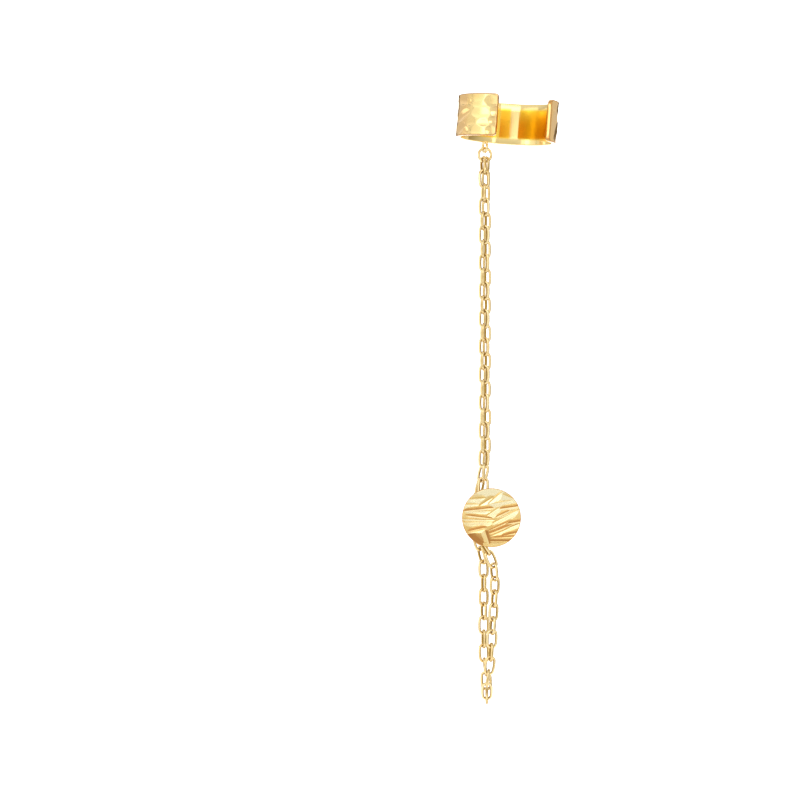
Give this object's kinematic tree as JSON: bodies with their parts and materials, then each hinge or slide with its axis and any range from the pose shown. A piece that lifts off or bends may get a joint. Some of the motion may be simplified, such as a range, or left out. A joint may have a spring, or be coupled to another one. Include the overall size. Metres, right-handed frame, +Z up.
{
  "type": "ear chain earring",
  "caption": "Ear chain earring: an open hammered ear cuff, fine cable chains that hang from it and a disc stud with a cut face and an ear post.",
  "frame": {"origin": "middle of the ear cuff's hollow, where it grips the rim of the ear", "axes": "+Z up as worn, +Y from the disc's face towards the ear behind it, +X to the right as seen from the front"},
  "size_m": [0.0104, 0.0175, 0.0619],
  "materials": {
    "hammered_gold": "hammered outside, smooth and bright inside",
    "polished_gold": "polished wire",
    "cut_gold": "brushed and cut with fine lines"
  },
  "bodies": {
    "root": {"ear_cuff": "hammered_gold", "top_ring": "polished_gold", "stud_chain": "polished_gold", "loop_chain": "polished_gold", "disc_stud": "cut_gold"}
  },
  "joints": []
}
